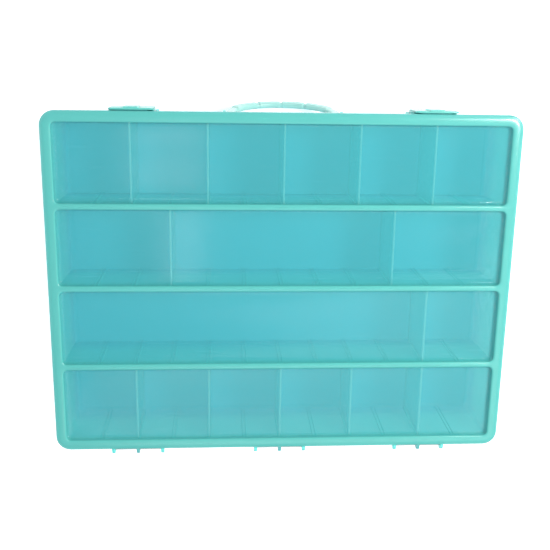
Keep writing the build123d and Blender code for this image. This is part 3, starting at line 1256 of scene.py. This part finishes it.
@dataclass(frozen=True)
class Lamp:
    """A soft rectangular light that looks at a point."""

    name: str
    place: Triple
    sides: Pair
    power: float
    aim: Triple
    tint: Triple

    def hang(self) -> None:
        """Make the light."""
        light = bpy.data.lights.new(self.name, "AREA")
        light.shape, light.color = "RECTANGLE", self.tint
        light.size, light.size_y = self.sides
        light.energy = self.power
        thing = bpy.data.objects.new(self.name, light)
        thing.location = self.place
        look = Vector(self.aim) - Vector(self.place)
        thing.rotation_euler = look.to_track_quat("-Z", "Y").to_euler()
        bpy.context.scene.collection.objects.link(thing)


@dataclass
class Studio:
    """Pale table, the camera and the lamps: a key light high on the right, a broad pane over the
    back, a weak fill low on the left and two small panes that show as soft pale patches in the
    lid's gloss."""

    eye: Triple = (-48.07 * MM, 179.36 * MM, 695.49 * MM)
    turn: Triple = (-14.895, -3.534, 0.883)
    lens: float = 53.965
    table: float = 6.0
    world: float = 0.455
    glow: float = 0.62
    lamps: tuple[Lamp, ...] = (
        Lamp("key_light", (0.62, 0.26, 0.92), (0.3, 0.3), 11.5, (0.0, 0.0, 0.05), (1.0, 1.0, 0.93)),
        Lamp("back_pane", (0.35, -0.95, 1.65), (1.5, 0.9), 6.0, (0.0, 0.0, 0.0), (1.0, 0.98, 0.94)),
        Lamp("fill_left", (-0.85, 0.0, 0.34), (0.5, 0.3), 1.4, (0.0, 0.0, 0.06), (1.0, 0.94, 1.0)),
        Lamp("pane_left", (-0.19, -0.06, 1.5), (0.19, 0.085), 0.16, (-0.19, -0.06, 0.0), (0.95, 0.98, 1.0)),
        Lamp("pane_right", (-0.15, -0.3, 1.5), (0.095, 0.19), 0.16, (-0.15, -0.3, 0.0), (0.95, 0.98, 1.0)),
    )

    def build(self) -> None:
        """Make the studio."""
        self.floor()
        self.lights()
        self.camera()

    def floor(self) -> None:
        """A wide table top under the case."""
        share = np.linspace(-self.table / 2, self.table / 2, 25)
        x, y = np.meshgrid(share, share)
        shells = Shells()
        shells.grid(np.stack([x, y, np.full_like(x, -0.0003)], -1))
        top = shells.build("table_top", closed=False)
        top.data.materials.append(TablePaper(self.glow).material())

    def lights(self) -> None:
        """A cool surround, and every lamp of the list."""
        world = bpy.data.worlds.new("surround")
        world.use_nodes = True
        world.node_tree.nodes["Background"].inputs[0].default_value = (0.86, 0.95, 1.0, 1.0)
        world.node_tree.nodes["Background"].inputs[1].default_value = self.world
        bpy.context.scene.world = world
        for lamp in self.lamps:
            lamp.hang()

    def camera(self) -> None:
        """The camera, high over the case and a little to the handle's side."""
        lens = bpy.data.cameras.new("camera")
        lens.lens, lens.sensor_width = self.lens, 36.0
        thing = bpy.data.objects.new("camera", lens)
        thing.location = self.eye
        thing.rotation_euler = [math.radians(angle) for angle in self.turn]
        bpy.context.scene.collection.objects.link(thing)
        bpy.context.scene.camera = thing
        bpy.context.scene.view_settings.view_transform = "Standard"


FINISHES = {
    # Painted light: the tray grows paler from its floor up its walls, lifting the shade inside the cells.
    Slot.TRAY: Polypropylene(
        "tray_polypropylene", linear(58, 189, 217), linear(98, 232, 227), 0.8, 2 * MM, 34 * MM
    ),
    # Painted light: paler over the top of the rim, darker down the skirt.
    Slot.LID: Polypropylene(
        "lid_polypropylene", linear(80, 182, 190), linear(98, 199, 194), 0.82, 58 * MM, 63.8 * MM,
        haze=0.05,
    ),
    # Painted highlight: the near-white pale colour over the top 3 mm paints a bright top edge on each
    # divider, and the deep colour is kept light so the faces read as lit.
    Slot.DIVIDER: Polypropylene(
        "divider_polypropylene", linear(76, 216, 220), linear(170, 244, 240), 0.62, 54.5 * MM, 57.3 * MM
    ),
    # Painted light: paler up towards the latch's head.
    Slot.LATCH: Polypropylene(
        "latch_polypropylene", linear(84, 188, 190), linear(106, 208, 200), 0.85, 30 * MM, 62 * MM
    ),
    # Painted light: paler towards the top of the hanging grip.
    Slot.HANDLE: Polypropylene(
        "handle_polypropylene", linear(168, 220, 216), linear(204, 238, 232), 0.72, 0.0, 40 * MM
    ),
    Slot.PIN: DrawnWire(),
}
# Painted light: paler up the pocket walls than on the pocket floors, lifting the shade on the walls.
PANEL = Polypropylene(
    "panel_polypropylene", linear(88, 206, 216), linear(116, 226, 220), 0.34, 59 * MM, 61 * MM,
    gloss=0.1, haze=0.05, grain=0.12,
)


def main() -> None:
    """Load the frame, build every sub-assembly and dress the case."""
    logging.basicConfig(level=logging.INFO, format="%(message)s")
    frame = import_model()
    looks = {slot: finish.material() for slot, finish in FINISHES.items()}
    for entry in frame["record"]["subparts"]:
        node = frame["nodes"][entry["node"]]
        node.data.materials.clear()
        node.data.materials.append(looks[Slot(entry["material_slot"])])
    TrayShell(looks[Slot.TRAY]).build()
    LidShell(looks[Slot.LID], PANEL.material()).build()
    DividerSet(looks[Slot.DIVIDER]).build()
    HingePins(looks[Slot.PIN]).build()
    SnapLatch(looks[Slot.LATCH], Body.LATCH_LEFT, "latch_left", -CASE.latch_x).build()
    SnapLatch(looks[Slot.LATCH], Body.LATCH_RIGHT, "latch_right", CASE.latch_x).build()
    BailHandle(looks[Slot.HANDLE]).build()
    Studio().build()


if __name__ == "__main__":
    main()
